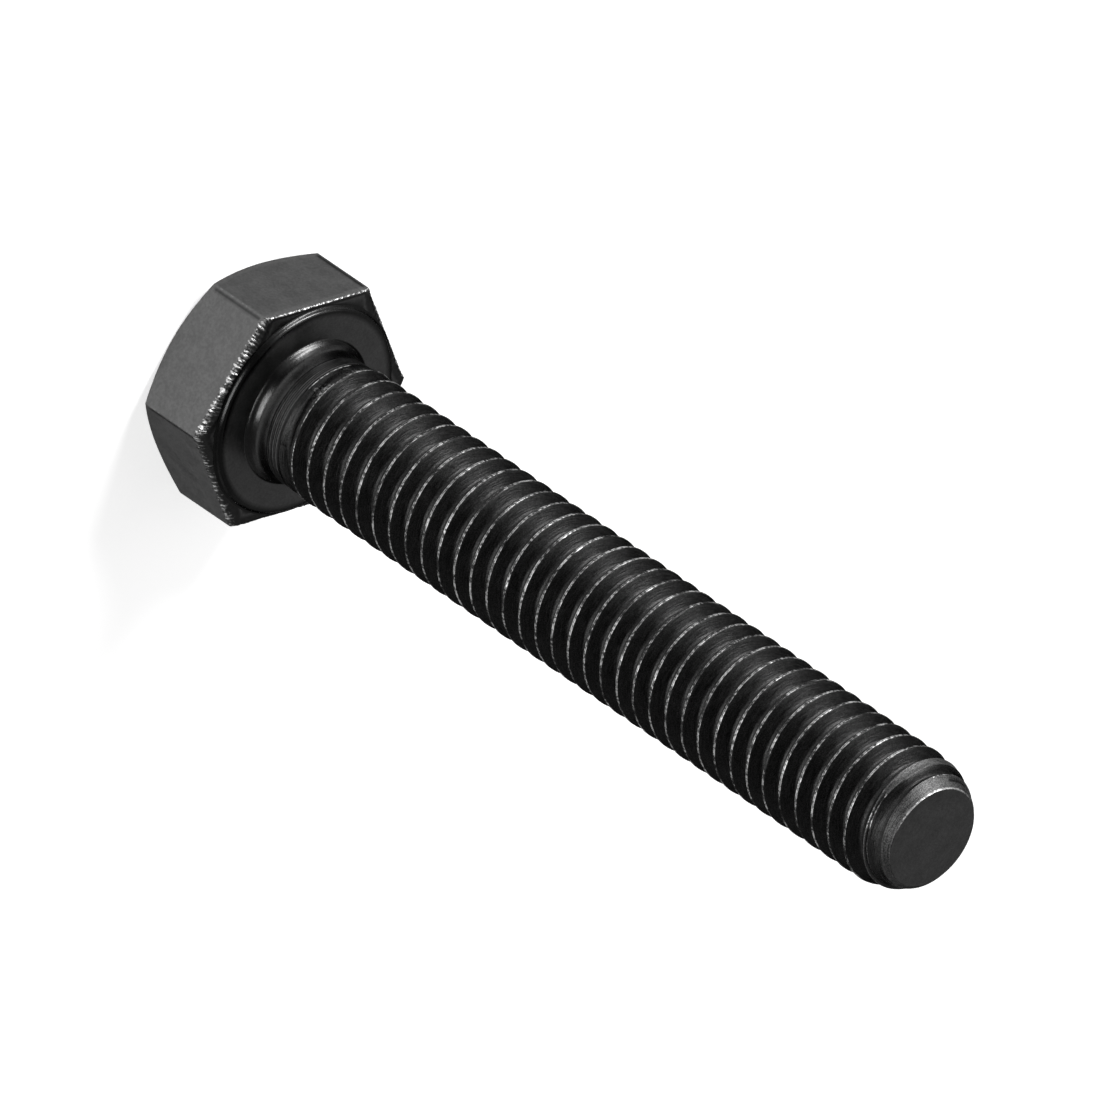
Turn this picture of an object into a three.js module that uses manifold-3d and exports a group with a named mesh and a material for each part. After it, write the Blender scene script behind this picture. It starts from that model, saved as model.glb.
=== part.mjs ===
// Hex bolt: metric M6 x 1 coarse, right-hand, threaded to the head, black-oxide steel.
// Millimetres. The head's top face lies on the XY plane, a head corner is on +X, and +Z runs along the
// shank to the tip. The real bolt is one piece of forged and rolled steel, so there is one node.
import * as THREE from 'three';
import { mergeVertices } from 'three/addons/utils/BufferGeometryUtils.js';
import Module from 'manifold-3d';

const wasm = await Module();
wasm.setup();

// Head
const HEAD_HEIGHT = 4.0; // top face to bearing face
const ACROSS_FLATS = 9.64;
const CHAMFER_CIRCLE = 9.4; // diameter of the flat top inside the chamfer
const CHAMFER_SLOPE = Math.tan(THREE.MathUtils.degToRad(30));
const BASE_CORNER_RADIUS = 5.36; // the corners are blunted where they meet the washer-face side
const BASE_CORNER_HEIGHT = 0.35;
const WASHER_FACE_DIAMETER = 9.0;
const WASHER_FACE_HEIGHT = 0.2;
const WASHER_BEVEL = 0.1;

// Shank
const LENGTH = 38.6; // bearing face to tip face
const FILLET_RADIUS = 3.22; // where the fillet leaves the bearing face
const NECK_RADIUS = 2.86;
const FILLET_LENGTH = 0.9;
const FILLET_STEPS = 6;
const FILLET_POWER = 2.4; // how quickly the fillet closes on the neck
const NECK_END = 1.8; // above the bearing face
const SHOULDER_LENGTH = 0.2; // neck to full thread blank

// Thread: the ISO 60 degree basic profile
const THREAD_DIAMETER = 5.97;
const PITCH = 1.0;
const CREST_FLAT = PITCH / 8;
const ROOT_FLAT = PITCH / 4;
const FLANK_SLOPE = Math.tan(THREE.MathUtils.degToRad(30));
const CREST_ON_X = 0.73; // a crest passes +X at this height above the bearing face
const RUNOUT_START = 0.5; // turns past +X where the groove begins to bite
const RUNOUT_TURNS = 0.3; // from there to full depth
const OVERCUT = 0.08; // the groove cutter stands this far out of the crest
const GROOVE_PAST_TIP = 0.6;

// Tip: distance back from the tip face, and radius there
const TIP_RADIUS = 2.2;
const TIP_CHAMFER = [[0.54, 2.56], [0.9, 2.72], [1.26, 2.85], [1.65, 2.93], [2.0, THREAD_DIAMETER / 2]];

const HEAD_SEGMENTS = 48;
const THREAD_SEGMENTS = 20; // per turn

const CREST_RADIUS = THREAD_DIAMETER / 2;
const THREAD_DEPTH = (PITCH - CREST_FLAT - ROOT_FLAT) / 2 / FLANK_SLOPE;
const ROOT_RADIUS = CREST_RADIUS - THREAD_DEPTH;
const TIP = HEAD_HEIGHT + LENGTH;

const MERGE_TOLERANCE = 1e-5;

// A closed manifold from a three.js geometry: seams merged and empty triangles dropped.
function solid(geometry) {
  const bare = geometry.clone();
  for (const name of Object.keys(bare.attributes)) if (name !== 'position') bare.deleteAttribute(name);
  const merged = mergeVertices(bare, MERGE_TOLERANCE);
  const index = merged.index.array;
  const triangles = [];
  for (let i = 0; i < index.length; i += 3) {
    const [a, b, c] = [index[i], index[i + 1], index[i + 2]];
    if (a !== b && b !== c && c !== a) triangles.push(a, b, c);
  }
  return new wasm.Manifold(new wasm.Mesh({
    numProp: 3,
    vertProperties: new Float32Array(merged.attributes.position.array),
    triVerts: new Uint32Array(triangles),
  }));
}

// A flat-shaded three.js geometry from a manifold.
function geometryOf(manifold) {
  const mesh = manifold.getMesh();
  const geometry = new THREE.BufferGeometry();
  geometry.setAttribute('position', new THREE.BufferAttribute(new Float32Array(mesh.vertProperties), 3));
  geometry.setIndex(new THREE.BufferAttribute(new Uint32Array(mesh.triVerts), 1));
  const flat = geometry.toNonIndexed();
  flat.computeVertexNormals();
  return flat;
}

// A solid of revolution about Z from [radius, height] pairs, both ends on the axis.
function turned(profile, segments) {
  const points = profile.map(([radius, height]) => new THREE.Vector2(radius, height));
  return solid(new THREE.LatheGeometry(points, segments).rotateX(Math.PI / 2));
}

// The head's six flats: a hexagonal prism up to the washer face, with a corner on +X.
function hexPrism() {
  const height = HEAD_HEIGHT - WASHER_FACE_HEIGHT;
  const corner = ACROSS_FLATS / 2 / Math.cos(Math.PI / 6);
  const prism = new THREE.CylinderGeometry(corner, corner, height, 6);
  prism.rotateX(Math.PI / 2).rotateZ(Math.PI / 2).translate(0, 0, height / 2);
  return solid(prism);
}

// The turned envelope that chamfers the head's top and blunts its corners at the washer-face side.
function headEnvelope() {
  const widest = ACROSS_FLATS;
  const base = HEAD_HEIGHT - WASHER_FACE_HEIGHT;
  return turned([
    [0, 0],
    [CHAMFER_CIRCLE / 2, 0],
    [widest, (widest - CHAMFER_CIRCLE / 2) * CHAMFER_SLOPE],
    [widest, base - BASE_CORNER_HEIGHT * (widest - BASE_CORNER_RADIUS)],
    [BASE_CORNER_RADIUS, base],
    [0, base],
  ], HEAD_SEGMENTS);
}

// The washer face under the head, with the fillet and plain neck that lead to the thread.
function washerFaceAndNeck() {
  const rim = WASHER_FACE_DIAMETER / 2;
  const profile = [
    [0, HEAD_HEIGHT / 2],
    [rim + WASHER_BEVEL, HEAD_HEIGHT / 2],
    [rim + WASHER_BEVEL, HEAD_HEIGHT - WASHER_BEVEL],
    [rim, HEAD_HEIGHT],
  ];
  for (let i = 0; i <= FILLET_STEPS; i += 1) {
    const along = i / FILLET_STEPS;
    const radius = NECK_RADIUS + (FILLET_RADIUS - NECK_RADIUS) * (1 - along) ** FILLET_POWER;
    profile.push([radius, HEAD_HEIGHT + along * FILLET_LENGTH]);
  }
  profile.push([NECK_RADIUS, HEAD_HEIGHT + NECK_END], [0, HEAD_HEIGHT + NECK_END]);
  return turned(profile, HEAD_SEGMENTS);
}

// The plain bar that the thread is formed on, with its chamfered tip.
function threadBlank() {
  const shoulder = HEAD_HEIGHT + NECK_END;
  const tip = TIP_CHAMFER.map(([back, radius]) => [radius, TIP - back]).reverse();
  return turned([
    [0, HEAD_HEIGHT],
    [ROOT_RADIUS, HEAD_HEIGHT],
    [NECK_RADIUS, shoulder],
    [CREST_RADIUS, shoulder + SHOULDER_LENGTH],
    ...tip,
    [TIP_RADIUS, TIP],
    [0, TIP],
  ], THREAD_SEGMENTS);
}

// The root line of the thread groove: a right-hand helix that lifts out of the bar at its start. Its frames
// are radial and axial, so that a groove section stays in the plane through the bolt's axis.
class ThreadHelix extends THREE.Curve {
  constructor(start, turns) {
    super();
    this.start = start;
    this.turns = turns;
  }

  angle(t) {
    return t * this.turns * Math.PI * 2;
  }

  getPoint(t, target = new THREE.Vector3()) {
    const turn = t * this.turns;
    const runout = THREE.MathUtils.clamp(1 - (turn - RUNOUT_START) / RUNOUT_TURNS, 0, 1);
    const lift = runout * (THREAD_DEPTH + OVERCUT / 2);
    const radius = ROOT_RADIUS + lift;
    const angle = this.angle(t);
    return target.set(radius * Math.cos(angle), radius * Math.sin(angle), this.start + turn * PITCH);
  }

  // Equal steps of t are equal steps of angle, which keeps every section on a facet corner of the bar.
  getSpacedPoints(divisions) {
    return this.getPoints(divisions);
  }

  computeFrenetFrames(segments) {
    const frames = { tangents: [], normals: [], binormals: [] };
    for (let i = 0; i <= segments; i += 1) {
      const angle = this.angle(i / segments);
      frames.tangents.push(new THREE.Vector3(-Math.sin(angle), Math.cos(angle), 0));
      frames.normals.push(new THREE.Vector3(Math.cos(angle), Math.sin(angle), 0));
      frames.binormals.push(new THREE.Vector3(0, 0, -1));
    }
    return frames;
  }
}

// The volume that the thread groove takes out of the bar.
function threadGroove() {
  const start = HEAD_HEIGHT + CREST_ON_X + PITCH / 2; // midway between two crests
  const turns = Math.ceil((TIP + GROOVE_PAST_TIP - start) / PITCH);
  const mouth = (PITCH - CREST_FLAT) / 2 + OVERCUT * FLANK_SLOPE;
  const section = new THREE.Shape([
    new THREE.Vector2(0, -ROOT_FLAT / 2),
    new THREE.Vector2(THREAD_DEPTH + OVERCUT, -mouth),
    new THREE.Vector2(THREAD_DEPTH + OVERCUT, mouth),
    new THREE.Vector2(0, ROOT_FLAT / 2),
  ]);
  return solid(new THREE.ExtrudeGeometry(section, {
    steps: turns * THREAD_SEGMENTS,
    bevelEnabled: false,
    extrudePath: new ThreadHelix(start, turns),
  }));
}

function blackOxideSteel() {
  return new THREE.MeshStandardMaterial({ color: 0x3a3a3d, roughness: 0.42, metalness: 0.95 });
}

function hexBolt() {
  const head = hexPrism().intersect(headEnvelope());
  const shank = threadBlank().subtract(threadGroove());
  const bolt = head.add(washerFaceAndNeck()).add(shank);
  const mesh = new THREE.Mesh(geometryOf(bolt), blackOxideSteel());
  mesh.name = 'hex_bolt';
  return mesh;
}

const part = new THREE.Group();
part.name = 'hex_bolt_part';
part.add(hexBolt());

export default part;
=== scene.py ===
"""Looks for the hex bolt: one forged, rolled and blackened M6 x 1 bolt, standing on its head."""

import math

import bpy
from mathutils import Matrix, Vector, noise


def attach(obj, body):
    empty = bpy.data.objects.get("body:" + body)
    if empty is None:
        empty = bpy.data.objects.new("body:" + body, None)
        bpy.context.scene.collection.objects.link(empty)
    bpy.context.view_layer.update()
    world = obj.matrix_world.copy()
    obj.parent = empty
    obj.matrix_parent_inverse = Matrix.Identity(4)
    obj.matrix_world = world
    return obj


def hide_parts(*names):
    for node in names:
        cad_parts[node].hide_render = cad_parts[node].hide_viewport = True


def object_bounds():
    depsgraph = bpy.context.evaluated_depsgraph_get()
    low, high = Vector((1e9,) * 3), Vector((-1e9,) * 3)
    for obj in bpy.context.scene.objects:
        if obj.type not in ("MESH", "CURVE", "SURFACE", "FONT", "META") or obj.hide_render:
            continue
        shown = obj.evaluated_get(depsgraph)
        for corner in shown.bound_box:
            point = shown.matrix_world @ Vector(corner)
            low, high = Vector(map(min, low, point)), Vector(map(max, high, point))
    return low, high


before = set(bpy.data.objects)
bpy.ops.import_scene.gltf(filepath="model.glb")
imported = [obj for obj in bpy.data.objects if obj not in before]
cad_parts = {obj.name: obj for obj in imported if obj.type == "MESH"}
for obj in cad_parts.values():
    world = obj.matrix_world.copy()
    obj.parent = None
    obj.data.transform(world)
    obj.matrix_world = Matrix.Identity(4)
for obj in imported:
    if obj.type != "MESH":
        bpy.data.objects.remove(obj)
cad_low, cad_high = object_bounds()

MM = 0.001
TAU = 2 * math.pi
SIDES = 6

# Sizes in millimetres: the CAD's length and width from its box, and the others as in the CAD.
TIP = round(cad_high[2] / MM, 3)
ACROSS_FLATS = round(2 * cad_high[1] / MM, 3)
HEAD_HEIGHT = 4.0
WASHER_HEIGHT = 0.2
BASE = HEAD_HEIGHT - WASHER_HEIGHT
CHAMFER_RADIUS, CHAMFER_SLOPE = 4.7, math.tan(math.radians(30))
BASE_CORNER_RADIUS, BASE_CORNER_HEIGHT = 5.36, 0.35
WASHER_RADIUS = 4.5
NECK_RADIUS, NECK_END, SHOULDER_LENGTH = 2.86, 1.8, 0.2
CREST, PITCH = 2.985, 1.0
CREST_FLAT, THREAD_DEPTH = 0.125, 0.5413
FLANK_SLOPE = math.tan(math.radians(30))
CREST_ON_X = 0.73
RUNOUT_START, RUNOUT_LIFT = 0.5, 0.581
TIP_RADIUS = 2.2
TIP_CHAMFER = [(0.0, TIP_RADIUS), (0.54, 2.56), (0.9, 2.72), (1.26, 2.85), (1.65, 2.93), (2.0, CREST)]

# Fine shape that the CAD leaves out.
RUNOUT_TURNS = 0.52  # the groove deepens more slowly than the CAD's
LIP_SIDE = math.radians(217)  # the side of the tip where its edges are sharpest, and where the upper light's glint falls
INSET = 0.001  # keeps the flats just inside the CAD's
CORNER_ROUND = 0.16
RIM_LIFT, RIM_LIFT_WIDTH = 0.014, 0.03  # forging line along each head corner
RIM_DIP, RIM_DIP_AT, RIM_DIP_WIDTH = 0.01, 0.12, 0.05  # the dip beside it

# Per flat, starting at the corner on +X: width and shine of its burr, and how much painted shade darkens
# the flat.
BURRS = [(0.22, 0.9), (0.12, 0.8), (0.28, 0.9), (0.08, 1.0), (0.34, 1.0), (0.36, 0.72)]
FLAT_SHADE = [0.0, 0.0, 0.0, 0.2, 0.0, 0.0]
TOOTH = 0.19  # spacing of the tears across a burr

# Columns of vertices round the bolt. Each set holds all of the one before it.
SHANK_COLUMNS = 120
HEAD_SPLIT, BURR_SPLIT = 2, 8
CORNER_OFFSETS = [0.35, 0.7, 1.05, 1.5, 2.1]  # degrees either side of a head corner

# How each kind of surface looks: reflectance, roughness, and how far turning or rolling lines show.
FORGED = (0.106, 0.46, 0.0)
FACED = (0.11, 0.36, 0.25)
TORN = (0.05, 0.38, 0.0)
CUT = (0.078, 0.5, 1.2)
PRESSED = (0.04, 0.26, 0.0)
TURNED = (0.023, 0.34, 0.5)
ROLLED = (0.027, 0.41, 1.0)


def smooth(low, high, value):
    """0 at low and 1 at high, eased at both ends. Low may be the greater of the two."""
    t = min(1.0, max(0.0, (value - low) / (high - low)))
    return t * t * (3 - 2 * t)


def hump(value, centre, width):
    """1 at the centre, falling away on both sides."""
    return math.exp(-(((value - centre) / width) ** 2))


def ripple(x, y, z, size, seed=0.0):
    """Smooth noise from -1 to 1 that repeats nowhere on the part."""
    return noise.noise(Vector((x / size + seed, y / size - seed, z / size + 2 * seed)))


def from_table(table, value):
    """Straight lines between the table's (value, result) pairs."""
    for (v0, r0), (v1, r1) in zip(table, table[1:]):
        if value <= v1:
            return r0 + (r1 - r0) * max(0.0, value - v0) / (v1 - v0)
    return table[-1][1]


class Skin:
    """Collects rings of vertices with their wear, painted shade and highlights, and finish, and the faces
    between.
    """

    def __init__(self):
        self.points, self.faces, self.rub, self.finish = [], [], [], []

    def point(self, radius, angle, z, rub, finish):
        self.points.append((radius * math.cos(angle) * MM, radius * math.sin(angle) * MM, z * MM))
        self.rub.append(rub)
        self.finish.append(finish)
        return len(self.points) - 1

    def ring(self, angles, finish, shape):
        """A ring with shape(angle) giving radius, height, and wear with painted shade and highlights."""
        made = []
        for a in angles:
            radius, z, rub = shape(a)
            made.append(self.point(radius, a, z, rub, finish))
        return made

    def face(self, *corners):
        """One face. A vertex given twice counts once, and a face with under three is left out."""
        kept = list(dict.fromkeys(corners))
        if len(kept) > 2:
            self.faces.append(kept)

    def bridge(self, lower, lower_angles, upper, upper_angles):
        """Faces between two rings, of which one may have more columns than the other."""
        coarse = min(lower_angles, upper_angles, key=len)
        low_at = [lower_angles.index(a) for a in coarse] + [len(lower)]
        high_at = [upper_angles.index(a) for a in coarse] + [len(upper)]
        for j in range(len(coarse)):
            below = [lower[i % len(lower)] for i in range(low_at[j], low_at[j + 1] + 1)]
            above = [upper[i % len(upper)] for i in range(high_at[j], high_at[j + 1] + 1)]
            self.face(*below, *reversed(above))

    def cap(self, ring, z, finish, up=True):
        centre = self.point(0.0, 0.0, z, 0.0, finish)
        for a, b in zip(ring, [*ring[1:], ring[0]]):
            self.face(*((a, b, centre) if up else (b, a, centre)))


class Stack:
    """Rings laid one on the next, from the middle of the head's top, round the outside, to the tip."""

    def __init__(self, skin):
        self.skin, self.ring, self.angles = skin, None, None

    def start(self, angles, finish, radius):
        """The first ring, level and closed over its middle."""
        self.add(angles, finish, lambda a: (radius, 0, 0))
        self.skin.cap(self.ring, 0.0, finish, up=False)

    def add(self, angles, finish, shape):
        ring = self.skin.ring(angles, finish, shape)
        if self.ring:
            self.skin.bridge(self.ring, self.angles, ring, angles)
        self.ring, self.angles = ring, angles


# Head

def off_corner(angle):
    """Signed angle to the nearest head corner."""
    return (angle + TAU / 12) % (TAU / SIDES) - TAU / 12


def columns(split):
    """Shank columns with split - 1 more between each two, and close ones round each head corner."""
    shank = [TAU * j / SHANK_COLUMNS for j in range(SHANK_COLUMNS)]
    if split == 1:
        return shank
    offsets = [math.radians(sign * offset) for offset in CORNER_OFFSETS for sign in (-1, 1)]
    close = [(TAU * corner / SIDES + offset) % TAU for corner in range(SIDES) for offset in offsets]
    step = TAU / SHANK_COLUMNS / split
    between = [a + step * i for a in shank for i in range(1, split)]
    clear = math.radians(CORNER_OFFSETS[-1]) + step / 4
    return sorted([*shank, *close, *(a for a in between if abs(off_corner(a)) > clear)])


def hexagon(angle):
    """Radius of the head's rounded hexagon, with the forging line and dip along each corner."""
    off = off_corner(angle)
    half = ACROSS_FLATS / 2 - INSET
    middle = (half - CORNER_ROUND) / math.cos(TAU / 12)
    if abs(off) > math.atan2(CORNER_ROUND / 2, middle + CORNER_ROUND * math.cos(TAU / 12)):
        radius = half / math.cos(TAU / 12 - abs(off))
    else:
        radius = middle * math.cos(off) + math.sqrt(CORNER_ROUND**2 - (middle * math.sin(off)) ** 2)
    side = radius * off
    lift = RIM_LIFT * hump(side, 0, RIM_LIFT_WIDTH)
    return radius + lift - RIM_DIP * hump(side, RIM_DIP_AT, RIM_DIP_WIDTH)


def flat_index(angle):
    return int(angle / TAU * SIDES) % SIDES


CORNER_WEAR, CORNER_WEAR_WIDTH = 0.45, 0.035
# Painted shade in the dip beside each corner's forging line: strength, distance from the corner, width.
DIP_SHADE, DIP_SHADE_AT, DIP_SHADE_WIDTH = 0.8, 0.13, 0.07


def corner_wear_and_shade(angle):
    """Wear on a corner's forging line, less the painted shade in the dip beside it and on the one darker
    flat.
    """
    side = hexagon(angle) * off_corner(angle)
    dip_shade = DIP_SHADE * hump(side, DIP_SHADE_AT, DIP_SHADE_WIDTH)
    return CORNER_WEAR * hump(side, 0, CORNER_WEAR_WIDTH) - dip_shade - FLAT_SHADE[flat_index(angle)]


def chamfer_height(radius):
    return (radius - CHAMFER_RADIUS) * CHAMFER_SLOPE


# The head's top: radius, height and wear of each ring from its middle to the chamfer.
TOP_MIDDLE = 1.6
TOP_RINGS = [
    (3.2, 0, 0), (4.3, 0, 0), (4.62, 0, 0.1), (CHAMFER_RADIUS - 0.02, 0.003, 0.45),
    (CHAMFER_RADIUS + 0.03, 0.022, 0.45),
]
CHAMFER_SHARES = (0.3, 0.6, 0.86)
ABOVE_EDGE = ((0.05, 0.0, 0.3), (0.018, 0.004, 0.6))  # back from the chamfer's edge, inset, wear
BELOW_EDGE = ((0.012, 0.004, 0.6), (0.05, 0.0, 0.2))  # down the flat from it, inset, wear
FLAT_SHARES = (0.1, 0.3, 0.55, 0.8)
BURR_ROOM = 0.4  # the flats are plain down to this far above the underside


def head_top(stack, angles):
    """The flat top, its chamfer and the six wrench flats."""
    stack.start(angles, FACED, TOP_MIDDLE)
    for radius, z, rub in TOP_RINGS:
        stack.add(angles, FACED, lambda a: (radius, z, rub))
    for share in CHAMFER_SHARES:
        def cone(a):
            reach = (hexagon(a) - CHAMFER_RADIUS) * share
            return CHAMFER_RADIUS + reach, reach * CHAMFER_SLOPE, 0.1
        stack.add(angles, FACED, cone)
    for back, inset, rub in ABOVE_EDGE:
        def above_edge(a):
            radius = hexagon(a) - back
            return radius - inset / 2, chamfer_height(radius) + inset / 2, rub
        stack.add(angles, FACED, above_edge)
    for below, inset, rub in BELOW_EDGE:
        def below_edge(a):
            radius = hexagon(a)
            return radius - inset, chamfer_height(radius) + below, rub
        stack.add(angles, FORGED, below_edge)
    for share in FLAT_SHARES:
        def side(a):
            radius = hexagon(a)
            edge = chamfer_height(radius)
            return radius, edge + (BASE - edge - BURR_ROOM) * share, corner_wear_and_shade(a)
        stack.add(angles, FORGED, side)


def burr_at(angle):
    """Width and shine of the burr, blended between one flat and the next at a corner."""
    flat = flat_index(angle)
    off = off_corner(angle)
    other = (flat + (1 if off < 0 else -1)) % SIDES
    share = 0.5 + 0.5 * smooth(0, math.radians(2.5), abs(off))
    return [own * share + next_to * (1 - share) for own, next_to in zip(BURRS[flat], BURRS[other])]


def tears(angle):
    """The burr's ragged teeth: 0 in a tear and 1 on a tooth, how far they reach, and where they begin."""
    radius = hexagon(angle)
    x, y = radius * math.cos(angle), radius * math.sin(angle)
    along = radius * math.sin(angle - TAU / SIDES * (flat_index(angle) + 0.5))
    beat = math.sin(TAU * (along / TOOTH + 2.2 * ripple(x, y, 0, 0.6, 4)))
    coarse, fine = ripple(x, y, 0, 0.12, 2), ripple(x, y, 0, 0.07, 21)
    tooth = smooth(-0.4, 0.45, 0.4 * beat + 0.9 * coarse + 0.7 * fine)
    patch = smooth(-0.5, 0.2, ripple(x, y, 0, 0.45, 7))
    reach, start = 1 + 0.7 * ripple(x, y, 0, 0.13, 12), 1 + 0.45 * ripple(x, y, 0, 0.1, 31)
    return tooth * (0.5 + 0.5 * patch), reach, start


BURR_TURNS = (0.0, 0.12, 0.25, 0.4, 0.55, 0.7, 0.85, 1.0)  # from 0 at the flat to 1 at the underside
SCUFF_REACH = 0.36  # how far the scuffs go past the burr
SCUFFS = (0.08, 0.2, SCUFF_REACH)
WIDE_BURR = 0.2  # a narrower burr is less torn, and its scuffs are shorter
TEAR_DEPTH = 0.15  # of the burr's width
SCUFF_DEPTH = 0.016


def burr_band(angle, turn, tear):
    """Radius, height and wear at one place round the burr, with the tears cut into it."""
    width, shine = burr_at(angle)
    tooth, reach, start = tear
    tooth = max(tooth, 0.8 - width / WIDE_BURR)
    quarter = turn * math.pi / 2
    z = BASE - width * (start + (1 - start) * turn) * (1 - math.sin(quarter))
    radius = hexagon(angle) - width * (1 - math.cos(quarter))
    radius = min(radius, BASE_CORNER_RADIUS + (BASE - z) / BASE_CORNER_HEIGHT)
    torn = TEAR_DEPTH * shine**3 * (1 - tooth)
    dent = torn * width * smooth(0.0, 0.4, turn) * smooth(1.0, 0.8, turn)
    end = 0.66 * reach
    bright = smooth(-0.1, 0.1, turn) * (1 - 0.8 * smooth(end - 0.2, end + 0.2, turn))
    return radius - dent, z - dent * 0.6, shine * (0.35 + 0.65 * tooth) * bright


def scuff(angle, past, tear):
    """Radius, height and wear at a distance past the burr, on the underside."""
    width, shine = burr_at(angle)
    tooth, reach, start = tear
    radius = hexagon(angle) - width - past * min(1.0, width / WIDE_BURR)
    fade = 1 - past / SCUFF_REACH
    return radius, BASE - SCUFF_DEPTH * fade * (1 - tooth), 0.45 * shine * tooth * fade * reach


def burr(stack, angles):
    """The torn lower edge of the flats: a rounded band crossed by teeth, then scuffs over the underside."""
    tear = {a: tears(a) for a in angles}
    stack.add(angles, FORGED, lambda a: (hexagon(a), BASE - BURR_ROOM, corner_wear_and_shade(a)))
    for turn in BURR_TURNS:
        stack.add(angles, TORN if turn else FORGED, lambda a: burr_band(a, turn, tear[a]))
    for past in SCUFFS:
        stack.add(angles, TORN if past < SCUFF_REACH else FACED, lambda a: scuff(a, past, tear[a]))


# The washer face's rim: distance outside its radius, and height above the underside.
WASHER_RIM = [
    (0.21, 0.0), (0.16, 0.004), (0.128, 0.018), (0.104, 0.045), (0.082, 0.082), (0.058, 0.122),
    (0.034, 0.157), (0.004, 0.183), (-0.036, 0.197), (-0.085, WASHER_HEIGHT),
]
WASHER_RINGS = (4.2, 3.8, 3.45, 3.27)
# How dark the painted shade on one side of the washer rim is.
RIM_SHADE = 0.55

# The fillet: radius and height above the washer face. A shallow step, a rounded shoulder, then the hollow.
FILLET = [
    (3.225, 0.0), (3.2, 0.04), (3.17, 0.085), (3.13, 0.125), (3.085, 0.17), (3.045, 0.225), (3.01, 0.285),
    (2.975, 0.34), (2.943, 0.4), (2.918, 0.48), (2.896, 0.58), (2.878, 0.72), (2.866, 0.9),
]

# Turning lines on the neck: height above the washer face, and how far each stands out.
NECK_LINES = [(1.0, 0.02), (1.1, 0.03), (1.2, 0.02), (1.3, 0.034), (1.41, 0.02), (1.51, 0.026)]
NECK_LINE_WIDTH = 0.036
NECK_LINE_SHEEN = 2.2  # how much more a line reflects than the neck
NECK_STEP = 0.03
LEVEL_TOP = 1.71  # the groove hardly reaches below this
NECK_SWELL, SWELL_FROM, SWELL_TO = 0.02, 1.0, 1.6

# The sharp edge that the neck ends in, on the side where the groove begins.
RIDGE, RIDGE_WIDTH, RIDGE_HEIGHT = 1.66, 0.03, 0.036
RIDGE_SIDE = math.radians(224)
RIDGE_WEAR = 0.95


def shaded(angle):
    """1 on the side of the head where the washer rim is darkened with painted shade, 0 on the other side.
    """
    degrees = math.degrees(angle)
    return smooth(236, 252, degrees) * smooth(360, 330, degrees)


def washer_face(stack, angles):
    # The rim is darkened from about 245 to 345 degrees, painted shade that dims its highlight there.
    for out, height in WASHER_RIM:
        stack.add(angles, PRESSED, lambda a: (WASHER_RADIUS + out, BASE + height, -RIM_SHADE * shaded(a)))
    for radius in WASHER_RINGS:
        stack.add(columns(1), FACED, lambda a: (radius, HEAD_HEIGHT, 0.0))


def ridge(angle, up):
    """How much of the ridge at the neck's end there is here, from 0 to 1."""
    return hump(up, RIDGE, RIDGE_WIDTH) * smooth(0.87, 0.96, math.cos(angle - RIDGE_SIDE))


def neck_radius(angle, up):
    """The neck's radius with its turning lines, each fading in and out round the bolt."""
    radius = NECK_RADIUS + NECK_SWELL * smooth(SWELL_FROM, SWELL_TO, up) + RIDGE_HEIGHT * ridge(angle, up)
    for i, (at, height) in enumerate(NECK_LINES):
        strength = 0.6 + 0.9 * ripple(math.cos(angle), math.sin(angle), 0, 0.6, 11 + i)
        radius += height * strength * hump(up, at, NECK_LINE_WIDTH)
    return radius


def neck_finish(up):
    """The turned finish, lighter along the turning lines."""
    on_line = max(hump(up, at, NECK_LINE_WIDTH) for at, height in NECK_LINES)
    return TURNED[0] * (1 + NECK_LINE_SHEEN * on_line), *TURNED[1:]


def fillet_and_neck(stack, angles):
    for radius, up in FILLET:
        stack.add(angles, PRESSED, lambda a: (radius, HEAD_HEIGHT + up, 0.0))
    start = FILLET[-1][1]
    for i in range(1, round((LEVEL_TOP - start) / NECK_STEP) + 1):
        up = min(LEVEL_TOP, start + i * NECK_STEP)
        def level(a):
            return neck_radius(a, up), HEAD_HEIGHT + up, RIDGE_WEAR * ridge(a, up)
        stack.add(angles, neck_finish(up), level)


# Thread

def envelope(z):
    """The turned bar before the thread is rolled: neck, shoulder, full diameter, tip chamfer."""
    up = z - HEAD_HEIGHT
    neck = NECK_RADIUS + NECK_SWELL
    shoulder = smooth(NECK_END - SHOULDER_LENGTH, NECK_END + 2 * SHOULDER_LENGTH, up)
    return min(neck + (CREST - neck) * shoulder, from_table(TIP_CHAMFER, TIP - z))


# Half a pitch from the middle of a crest to the middle of the root: distance along the axis, depth, wear.
# The crest is two rolled lips with a faint seam between them.
HALF_PITCH = [
    (0.0, 0.01, 0.35),
    (0.017, 0.003, 0.7),
    (0.036, 0.0, 0.95),
    (0.058, 0.014, 0.45),
    (0.09, 0.058, 0.1),
    (0.13, 0.117, 0.0),
    (0.33, 0.4633, 0.0),
    (0.4, 0.526, 0.0),
    (0.5, THREAD_DEPTH, 0.0),
]
DEPTHS = [(along, depth) for along, depth, rub in HALF_PITCH]
SEAM_EDGE = HALF_PITCH[1][0]
CREST_TOP = 0.04  # rows nearer to the crest than this lie on top of it
CREST_ZERO = HEAD_HEIGHT + CREST_ON_X

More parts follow.
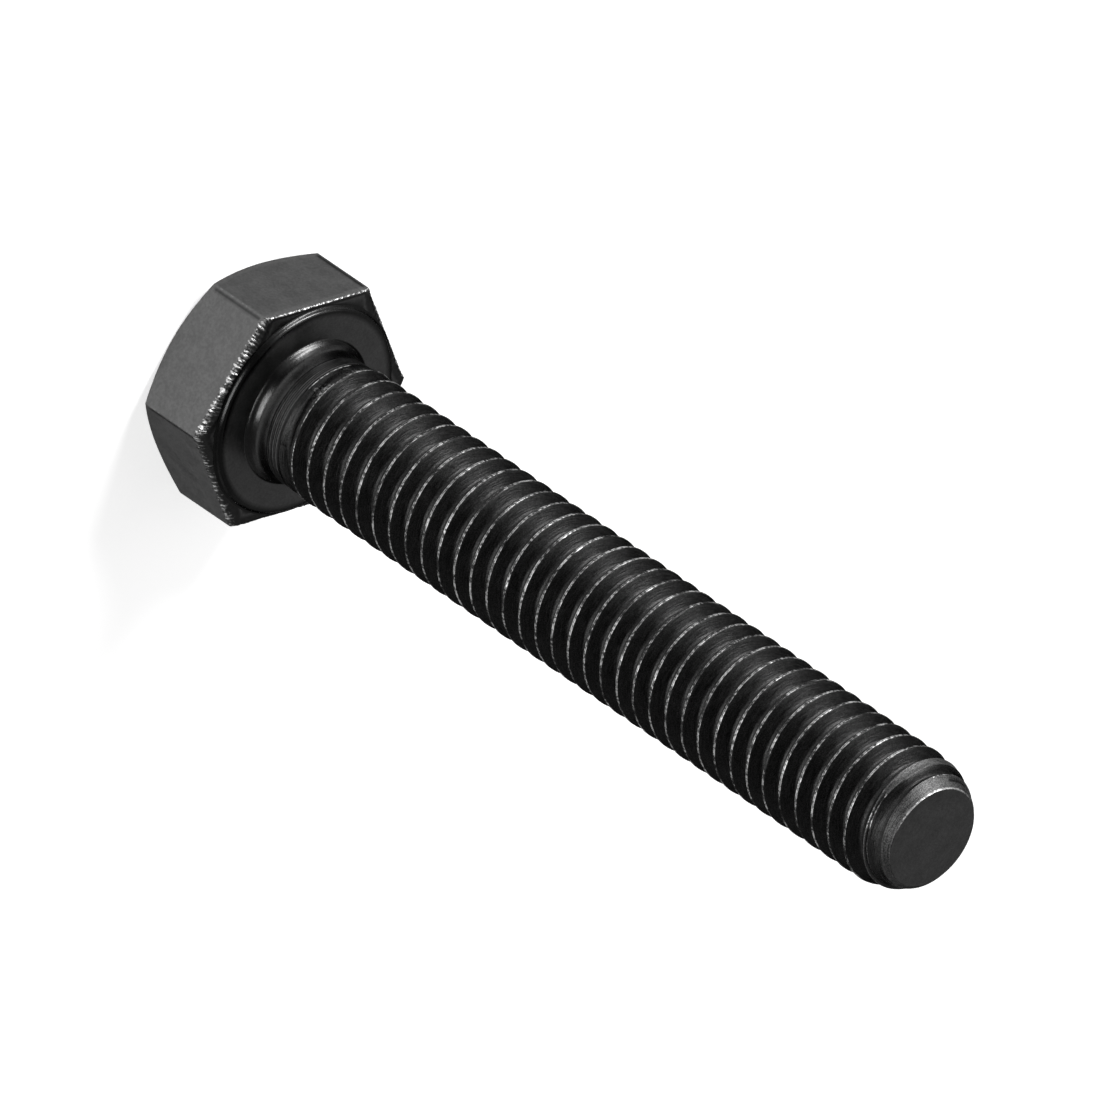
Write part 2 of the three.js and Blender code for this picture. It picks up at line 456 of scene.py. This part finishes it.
BARE = 0.02  # the turned bar shows where it is this much lower than the rolled shape
FIRST_ROLLED = 2  # turns before which the bar is as dark as the thread
DARK_WEAR, CUT_WEAR, SCUFF_WEAR, STREAK_GLINT = 0.2, 0.3, 0.58, 0.8
UNFILLED_SHOWS = 0.3  # a crest more unfilled than this shows the turned bar
UNFILLED_SPREAD = 0.1  # how far an unfilled crest spreads towards the tip
LAST_GROOVE = 36.0  # turns at which the last groove cuts into the tip's chamfer
STREAK, STREAK_WIDTH = 36.765, 0.045  # turns to the painted highlight on the last crest, bare steel where the front light's glint falls, and its width

# Where the groove is scuffed and not yet fully rolled: turns over which it comes and goes, and height.
SCUFF_COMES, SCUFF_GOES, SCUFF_ABOVE = (0.4, 0.52), (0.88, 0.62), (1.7, 1.85)


def pitch_rows():
    """(distance above the crest, distance from the nearest crest, wear) for every row of one pitch."""
    up = [(along, along, rub) for along, depth, rub in HALF_PITCH]
    down = [(PITCH - along, along, rub) for along, depth, rub in reversed(HALF_PITCH[1:-1])]
    return [*up, *down]


def cut_back(crest_z, side):
    """How far the bar's outline lowers a crest, on its side towards the head, -1, or the tip, 1."""
    loss = 0.0
    for _ in range(4):
        edge = crest_z + side * (CREST_FLAT / 2 + loss * FLANK_SLOPE)
        loss = CREST - envelope(edge)
    return min(loss, THREAD_DEPTH)


def unfilled(crest_z):
    """From 0 to 1, how unfilled the rolling dies left the last full crest."""
    back = TIP - crest_z
    return smooth(1.13, 1.24, back) * smooth(1.62, 1.45, back)


def narrowed(crest_z):
    """0 where a lowered crest is cut off flat, and 1 on the stretch where it is rolled low but sharp."""
    back = TIP - crest_z
    return smooth(1.24, 1.1, back) * smooth(0.6, 0.85, back)


def from_nearest_crest(from_crest, shift):
    """A row's distance from its crest, once the crest's edge is shifted outward. The root stays put."""
    if from_crest in (0, PITCH / 2):
        return from_crest
    away = shift + from_crest * (1 - 2 * shift / PITCH)
    return away - 0.2 * shift if from_crest == SEAM_EDGE else away


def thread_point(angle, turn, above, from_crest, rub):
    """Radius, angle, height, wear with painted highlight, and finish where one row of the thread crosses an
    angle.
    """
    side = 1 if above < PITCH / 2 else -1
    groove = turn + angle / TAU
    crest_turn = groove if side > 0 else groove + 1
    crest_z = CREST_ZERO + crest_turn * PITCH
    loss, sharp, low = cut_back(crest_z, side), narrowed(crest_z), unfilled(crest_z)
    shift = (loss * FLANK_SLOPE + (UNFILLED_SPREAD * low if side > 0 else 0.0)) * (1 - sharp)
    away = from_nearest_crest(from_crest, shift)
    z = crest_z + side * away

    runout = min(1.0, max(0.0, 1 - (groove - RUNOUT_START) / RUNOUT_TURNS))
    below = from_table(DEPTHS, max(0.0, away - shift)) * (1 - sharp * loss / THREAD_DEPTH)
    cut = CREST - min(THREAD_DEPTH, loss + below) + runout * RUNOUT_LIFT
    bar = envelope(z)

    wear_and_glint, finish = rub, ROLLED
    if bar < cut - BARE:
        wear_and_glint, finish = (CUT_WEAR, CUT) if groove > FIRST_ROLLED else (DARK_WEAR, ROLLED)
    scuffed = smooth(*SCUFF_COMES, groove) * smooth(*SCUFF_GOES, groove)
    wear_and_glint = max(wear_and_glint, SCUFF_WEAR * scuffed * smooth(*SCUFF_ABOVE, z - HEAD_HEIGHT))
    if from_crest < CREST_TOP:
        if low > UNFILLED_SHOWS:
            wear_and_glint, finish = CUT_WEAR, CUT
        # Painted highlight: bare steel on the last crest where the front light's glint falls.
        wear_and_glint = max(wear_and_glint, STREAK_GLINT * hump(crest_turn, STREAK, STREAK_WIDTH))
    # Past the last groove, wear on the head side of the crests fades away from LIP_SIDE. The bare steel
    # stays only where the upper light's glint falls, a painted highlight.
    if side < 0 and groove > LAST_GROOVE:
        wear_and_glint *= smooth(0.0, 0.6, math.cos(angle - LIP_SIDE))
    return *crest_detail(min(cut, bar), angle, z, wear_and_glint), finish


def crest_detail(radius, angle, z, rub):
    """Radius, angle, height and wear, painted highlight included, with the crest's unevenness and the
    patchy wear along it.
    """
    x, y = 3 * math.cos(angle), 3 * math.sin(angle)
    shake = 0.005 * ripple(x, y, z, 1.3, 5) + 0.004 * ripple(x, y, z, 0.35, 9)
    patch = 0.75 + 0.45 * ripple(x, y, z, 0.9, 3) + 0.3 * ripple(x, y, z, 0.45, 6)
    near_crest = smooth(0.12, 0.0, envelope(z) - radius)
    return radius - abs(shake) * near_crest, angle, z, min(1.0, rub * patch)


NEAR = 0.015  # a row this near a level ring joins it


def thread(stack, angles, bottom, top):
    """The helical thread between two level rings, made of rows that climb one pitch a turn. Rows are
    cut off at the two levels, where they share the level ring's vertices."""
    skin = stack.skin
    bottom_ring = stack.ring
    top_ring = skin.ring(angles, CUT, lambda a: (envelope(top), top, CUT_WEAR))
    rows = pitch_rows()
    grid = []
    for turn in range(math.floor(bottom - CREST_ZERO) - 1, math.ceil(top - CREST_ZERO) + 1):
        for row in rows:
            line = []
            for j, a in enumerate(angles):
                radius, angle, z, wear_and_glint, finish = thread_point(a, turn, *row)
                if z < bottom + NEAR:
                    line.append(bottom_ring[j])
                elif z > top - NEAR:
                    line.append(top_ring[j])
                else:
                    line.append(skin.point(radius, angle, z, wear_and_glint, finish))
            grid.append(line)
    for i in range(len(grid) - 1):
        for j in range(len(angles) - 1):
            skin.face(grid[i][j], grid[i][j + 1], grid[i + 1][j + 1], grid[i + 1][j])
        if i + 1 + len(rows) < len(grid):  # the last column meets the first one pitch higher
            skin.face(grid[i][-1], grid[i + len(rows)][0], grid[i + len(rows) + 1][0], grid[i + 1][-1])
    stack.ring, stack.angles = top_ring, angles


# Tip

# The tip's edge: radius, distance back from the tip, wear. The facing cut leaves a thin lip.
TIP_RECESS = 0.014
TIP_EDGE = [
    (2.265, 0.105, 0.3), (2.24, 0.06, 0.75), (2.218, 0.02, 1.3), (2.205, 0.004, 1.5), (2.19, 0.0, 1.3),
    (2.172, 0.008, 0.5), (2.15, TIP_RECESS, 0.0), (1.4, TIP_RECESS, 0.0), (0.7, TIP_RECESS, 0.0),
]
TIP_LEVEL = 0.26
TIP_SLANT = 0.025  # the sheared end falls away to one side, millimetres per millimetre


def tip_point(angle, radius, back, rub):
    """Radius, height and wear on the tip, with a lip on one side of its edge only."""
    facing = math.cos(angle - LIP_SIDE)
    kept = smooth(0.3, 0.95, facing) * (0.75 + 0.5 * ripple(math.cos(angle), math.sin(angle), 0, 0.3, 8))
    fall = TIP_SLANT * (TIP_RADIUS - radius * facing)
    return radius, TIP - max(back, TIP_RECESS * (1 - kept)) - fall, rub * (0.15 + 0.85 * kept)


def tip(stack, angles):
    for radius, back, rub in TIP_EDGE:
        finish = CUT if radius > TIP_RADIUS else FACED
        stack.add(angles, finish, lambda a: tip_point(a, radius, back, rub))
    stack.skin.cap(stack.ring, TIP - TIP_RECESS - TIP_SLANT * TIP_RADIUS, FACED)


SHARP_EDGE = math.radians(75)


def bolt_skin():
    skin = Skin()
    stack = Stack(skin)
    shank, head, fine = columns(1), columns(HEAD_SPLIT), columns(BURR_SPLIT)
    head_top(stack, head)
    burr(stack, fine)
    washer_face(stack, head)
    fillet_and_neck(stack, shank)
    thread(stack, shank, HEAD_HEIGHT + LEVEL_TOP, TIP - TIP_LEVEL)
    tip(stack, shank)
    return skin


def mesh_of(skin, name):
    """A mesh of the skin's faces, without the points that no face uses, and with its wear, painted shade
    and highlights, and finish.
    """
    mesh = bpy.data.meshes.new(name)
    used = sorted({v for f in skin.faces for v in f})
    new = {v: i for i, v in enumerate(used)}
    mesh.from_pydata([skin.points[v] for v in used], [], [[new[v] for v in f] for f in skin.faces])
    layers = {"rub": [skin.rub[v] for v in used]}
    for i, layer in enumerate(("grey", "rough", "lines")):
        layers[layer] = [skin.finish[v][i] for v in used]
    for layer, values in layers.items():
        mesh.attributes.new(layer, "FLOAT", "POINT").data.foreach_set("value", values)
    mesh.polygons.foreach_set("use_smooth", [True] * len(mesh.polygons))
    mesh.validate()
    mesh.set_sharp_from_angle(angle=SHARP_EDGE)
    return mesh


# Materials

def node(tree, kind, inputs=None, **settings):
    made = tree.nodes.new(kind)
    for name, value in settings.items():
        setattr(made, name, value)
    for key, value in (inputs or {}).items():
        if isinstance(value, bpy.types.NodeSocket):
            tree.links.new(value, made.inputs[key])
        else:
            made.inputs[key].default_value = value
    return made


BARE_STEEL = 0.5  # reflectance where the oxide is rubbed off
EDGE_TINT = 0.3  # the oxide reflects little at a grazing angle


def blackened_steel():
    material = bpy.data.materials.new("black_oxide_steel")
    material.use_nodes = True
    tree = material.node_tree
    tree.nodes.clear()

    def maths(operation, a, b=0.0, c=0.0):
        return node(tree, "ShaderNodeMath", {0: a, 1: b, 2: c}, operation=operation).outputs[0]

    def scaled(vector, factors):
        return node(tree, "ShaderNodeVectorMath", {0: vector, 1: factors}, operation="MULTIPLY").outputs[0]

    def span(value, low, high, out_low=0.0, out_high=1.0):
        inputs = {"Value": value, "From Min": low, "From Max": high, "To Min": out_low, "To Max": out_high}
        return node(tree, "ShaderNodeMapRange", inputs, interpolation_type="SMOOTHSTEP").outputs[0]

    def grain(vector, scale, detail=3.0):
        inputs = {"Vector": vector, "Scale": scale, "Detail": detail, "Roughness": 0.55}
        return node(tree, "ShaderNodeTexNoise", inputs).outputs["Fac"]

    def attribute(name):
        return node(tree, "ShaderNodeAttribute", attribute_name=name).outputs["Fac"]

    place = node(tree, "ShaderNodeTexCoord").outputs["Object"]
    millimetres = scaled(place, (1 / MM, 1 / MM, 1 / MM))
    across = node(tree, "ShaderNodeSeparateXYZ", {0: millimetres}).outputs
    level = node(tree, "ShaderNodeCombineXYZ", {0: across[0], 1: across[1], 2: 0.0}).outputs[0]
    radius = node(tree, "ShaderNodeVectorMath", {0: level}, operation="LENGTH").outputs["Value"]

    # Lines round the axis: stretched noise, fine along the axis and along the radius.
    inputs = {"Vector": scaled(millimetres, (1.5, 1.5, 26)), "W": maths("MULTIPLY", radius, 22.0)}
    inputs.update({"Scale": 1.0, "Detail": 2.5})
    scratch = node(tree, "ShaderNodeTexNoise", inputs, noise_dimensions="4D").outputs["Fac"]

    mottle = grain(millimetres, 1.3, 4.0)
    speckle = grain(millimetres, 8.0, 3.0)
    fine = grain(millimetres, 24.0, 2.0)
    rub, grey, rough, lines = (attribute(name) for name in ("rub", "grey", "rough", "lines"))
    lined = maths("MULTIPLY", lines, span(scratch, 0.3, 0.7, -1.0, 1.0))

    # Bare steel where it is rubbed and in the painted highlights, broken up by the speckle. Negative values
    # are painted shade.
    wear_and_glint = span(maths("MULTIPLY", rub, span(speckle, 0.35, 0.65, 0.55, 1.25)), 0.3, 0.95)
    painted_darkening = maths("ADD", maths("MINIMUM", maths("MULTIPLY", rub, 0.75), 0.0), 1.0)
    shade = maths("MULTIPLY", span(speckle, 0.3, 0.7, 0.9, 1.1), span(mottle, 0.3, 0.7, 0.93, 1.07))
    shade = maths("MULTIPLY", shade, maths("MULTIPLY_ADD", lined, 0.18, 1.0))
    shade = maths("MULTIPLY", shade, maths("MULTIPLY_ADD", lines, span(fine, 0.35, 0.65, -0.4, 0.4), 1.0))
    oxide = maths("MULTIPLY", maths("MULTIPLY", grey, shade), painted_darkening)
    metal = maths("MULTIPLY_ADD", wear_and_glint, maths("SUBTRACT", BARE_STEEL, oxide), oxide)
    colour = node(tree, "ShaderNodeCombineColor", {0: metal, 1: metal, 2: metal}).outputs[0]

    roughness = maths("ADD", rough, span(mottle, 0.3, 0.7, -0.03, 0.03))
    roughness = maths("MULTIPLY_ADD", lined, 0.07, roughness)
    roughness = maths("MULTIPLY_ADD", wear_and_glint, -0.06, roughness)
    height = maths("MULTIPLY_ADD", fine, 0.4, maths("MULTIPLY", speckle, 0.6))
    height = maths("ADD", maths("MULTIPLY_ADD", lined, 0.7, height), maths("MULTIPLY", lines, fine))
    bump = node(tree, "ShaderNodeBump", {"Strength": 0.4, "Distance": 0.00001, "Height": height}).outputs[0]
    shader = node(tree, "ShaderNodeBsdfPrincipled", {
        "Base Color": colour, "Metallic": 1.0, "Roughness": roughness, "Normal": bump,
        "Specular Tint": (EDGE_TINT, EDGE_TINT, EDGE_TINT, 1),
    })
    output = node(tree, "ShaderNodeOutputMaterial")
    tree.links.new(shader.outputs[0], output.inputs[0])
    return material


def pale_floor():
    material = bpy.data.materials.new("pale_floor")
    material.use_nodes = True
    shader = material.node_tree.nodes["Principled BSDF"]
    shader.inputs["Base Color"].default_value = (0.86, 0.86, 0.86, 1)
    shader.inputs["Roughness"].default_value = 0.9
    shader.inputs["Specular IOR Level"].default_value = 0.1
    shader.inputs["Emission Color"].default_value = (1, 1, 1, 1)
    shader.inputs["Emission Strength"].default_value = 0.58
    return material


# View and light

# The camera's view as directions on the part: LEVEL is level and to its lower left, FAR is level and away.
CORNER_TURN, TILT, IMAGE_SLOPE = math.radians(7.1), math.radians(38.15), math.radians(34.228)
LEVEL = Vector((math.cos(CORNER_TURN), -math.sin(CORNER_TURN), 0))
FAR = Vector((math.sin(CORNER_TURN), math.cos(CORNER_TURN), 0))
UP = Vector((0, 0, 1))
VIEW_WIDTH = 44.0
VIEW_DISTANCE = 0.25
LEFT_OF_MIDDLE, ABOVE_MIDDLE = 9.77, 5.54  # the bearing face's centre in the frame, from the frame's middle

# Lights: direction and distance from halfway up the bolt, width, height, and how bright the surface is.
HALF_WAY_UP = 0.02 * UP
LIGHTS = {
    "upper": (-0.23 * FAR - 0.88 * LEVEL + 0.42 * UP, 0.25, 0.13, 0.05, 32),
    "front": (-0.87 * FAR + 0.44 * LEVEL + 0.25 * UP, 0.16, 0.11, 0.03, 13),
    "side": (0.15 * FAR - 0.6 * LEVEL + 0.75 * UP, 0.3, 0.2, 0.2, 1.2),
}


def camera():
    along = math.sin(TILT) * FAR + math.cos(TILT) * UP
    right = -math.sin(IMAGE_SLOPE) * LEVEL + math.cos(IMAGE_SLOPE) * along
    upward = -math.cos(IMAGE_SLOPE) * LEVEL - math.sin(IMAGE_SLOPE) * along
    toward = math.sin(TILT) * UP - math.cos(TILT) * FAR
    data = bpy.data.cameras.new("camera")
    data.type = "ORTHO"
    data.ortho_scale = VIEW_WIDTH * MM
    data.clip_start, data.clip_end = 0.001, 5.0
    made = bpy.data.objects.new("camera", data)
    aim = (UP * HEAD_HEIGHT + right * LEFT_OF_MIDDLE - upward * ABOVE_MIDDLE) * MM
    basis = Matrix((right, upward, toward)).transposed()
    made.matrix_world = Matrix.Translation(aim + toward * VIEW_DISTANCE) @ basis.to_4x4()
    bpy.context.collection.objects.link(made)
    bpy.context.scene.camera = made


def softbox(name, direction, distance, wide, tall, radiance):
    """A rectangular light facing the bolt, by how bright its surface is."""
    data = bpy.data.lights.new(name, "AREA")
    data.shape = "RECTANGLE"
    data.size, data.size_y = wide, tall
    data.energy = radiance * math.pi * wide * tall
    made = bpy.data.objects.new(name, data)
    made.location = HALF_WAY_UP + direction.normalized() * distance
    made.rotation_euler = (-direction).to_track_quat("-Z", "Y").to_euler()
    made.visible_camera = False
    bpy.context.collection.objects.link(made)


def studio_world():
    """A light tent: pale at the horizon, dim overhead and darkest behind the camera."""
    world = bpy.data.worlds.new("world")
    world.use_nodes = True
    tree = world.node_tree
    direction = node(tree, "ShaderNodeTexCoord").outputs["Generated"]
    product = node(tree, "ShaderNodeVectorMath", {0: direction, 1: FAR}, operation="DOT_PRODUCT")
    away = product.outputs["Value"]
    inputs = {"Value": away, "From Min": -0.9, "From Max": 0.8, "To Min": 0.05, "To Max": 0.33}
    overhead = node(tree, "ShaderNodeMapRange", inputs, interpolation_type="LINEAR").outputs[0]
    rise = node(tree, "ShaderNodeSeparateXYZ", {0: direction}).outputs[2]
    inputs = {"Value": rise, "From Min": 0.0, "From Max": 0.15, "To Min": 0.8, "To Max": overhead}
    strength = node(tree, "ShaderNodeMapRange", inputs, interpolation_type="SMOOTHSTEP").outputs[0]
    tree.links.new(strength, tree.nodes["Background"].inputs[1])
    tree.nodes["Background"].inputs[0].default_value = (1, 1, 1, 1)
    bpy.context.scene.world = world


def placed(name, mesh, material):
    made = bpy.data.objects.new(name, mesh)
    made.data.materials.append(material)
    bpy.context.collection.objects.link(made)
    return made


FLOOR_HALF = 1.5


def floor_mesh():
    mesh = bpy.data.meshes.new("floor")
    low, high = -FLOOR_HALF, FLOOR_HALF
    corners = [(low, low, 0), (high, low, 0), (high, high, 0), (low, high, 0)]
    mesh.from_pydata(corners, [], [(0, 1, 2, 3)])
    return mesh


bolt = placed("bolt", mesh_of(bolt_skin(), "bolt"), blackened_steel())
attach(bolt, "root")
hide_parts("hex_bolt")
floor = placed("floor", floor_mesh(), pale_floor())

camera()
for name, light in LIGHTS.items():
    softbox(name, *light)
studio_world()
bpy.context.scene.view_settings.view_transform = "Standard"
